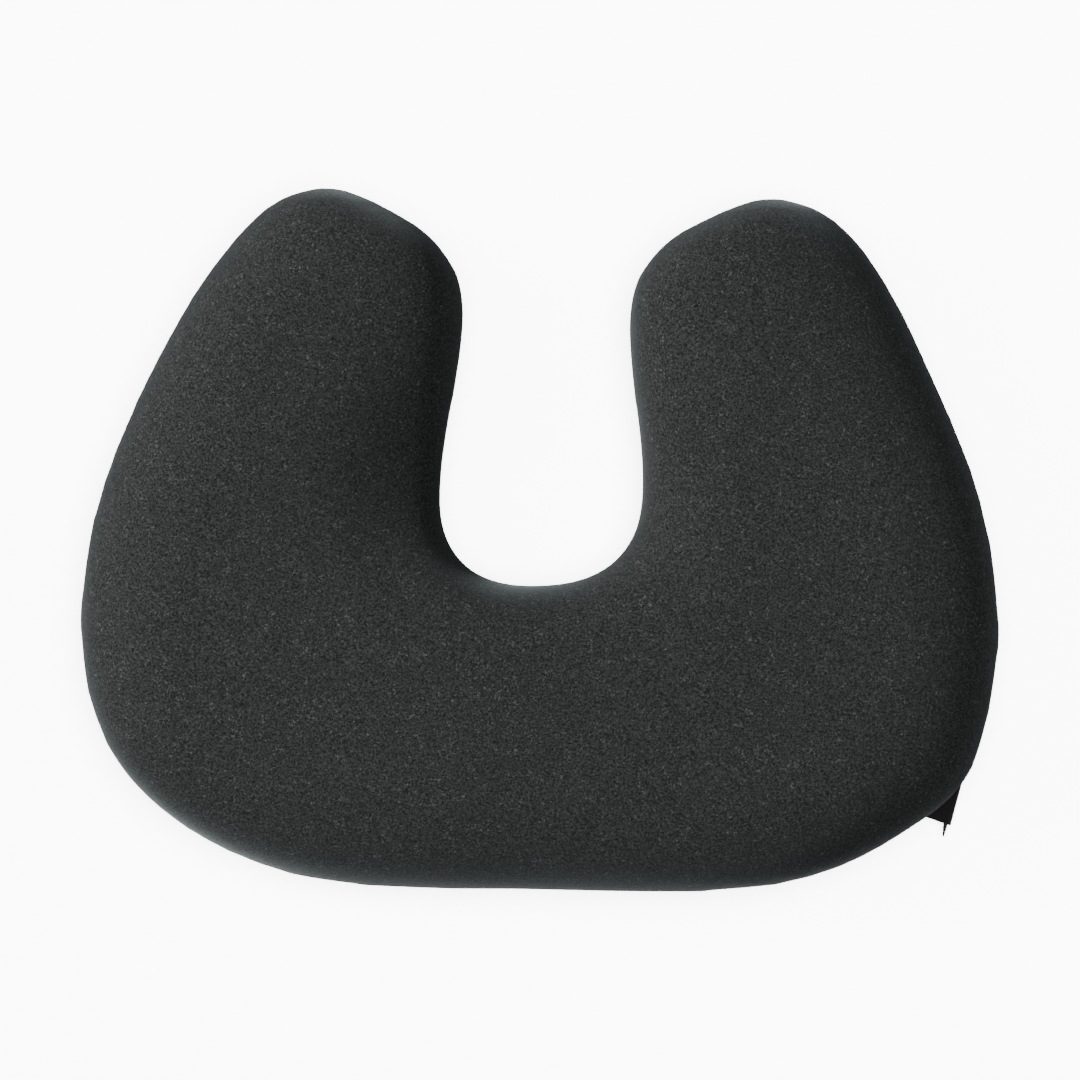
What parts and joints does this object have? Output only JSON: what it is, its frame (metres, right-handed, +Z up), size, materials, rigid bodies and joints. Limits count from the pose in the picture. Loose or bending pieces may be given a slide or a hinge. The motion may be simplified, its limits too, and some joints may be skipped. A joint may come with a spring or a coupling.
{
  "type": "seat cushion",
  "caption": "U-shaped contoured seat cushion: moulded foam in a stretch knit cover with a rear relief notch, flat grip base and a zip across the base.",
  "frame": {"origin": "middle of the base's box, on the surface that the cushion lies on", "axes": "+X across the seat, to the side of the folded tape end, +Y to the rear where the notch is, +Z up"},
  "size_m": [0.45, 0.3421, 0.072],
  "materials": {
    "knit_cover": "matte heathered charcoal stretch knit",
    "foam": "open-cell moulded foam",
    "grip_fabric": "woven with rubber grip dots",
    "seam_thread": "overlocked polyester thread",
    "zip_tape": "smooth woven polyester tape",
    "zip_nylon": "glossy nylon monofilament",
    "zip_metal": "gunmetal plated"
  },
  "bodies": {
    "cushion": {"foam_core": "foam", "cover_top": "knit_cover", "base_panel": "grip_fabric", "base_seam": "seam_thread", "zip_tape_front": "zip_tape", "zip_tape_rear": "zip_tape", "zip_coil_front": "zip_nylon", "zip_coil_rear": "zip_nylon", "zip_top_stop_front": "zip_metal", "zip_top_stop_rear": "zip_metal", "zip_bottom_stop": "zip_metal", "zip_end_tab": "zip_tape", "zip_end_thread": "seam_thread"},
    "zip_slider": {"zip_slider_body": "zip_metal", "zip_slider_bail": "zip_metal"},
    "zip_pull": {"zip_puller": "zip_metal"}
  },
  "joints": [
    {"name": "zip_slide", "type": "slide", "parent": "cushion", "child": "zip_slider", "axis": [-1, 0, 0], "range_m": [0, 0.266]},
    {"name": "puller_hinge", "type": "hinge", "parent": "zip_slider", "child": "zip_pull", "pos_m": [0.14421, -0.114, 0.00265], "axis": [0, -1, 0], "range_deg": [0, 150]}
  ]
}
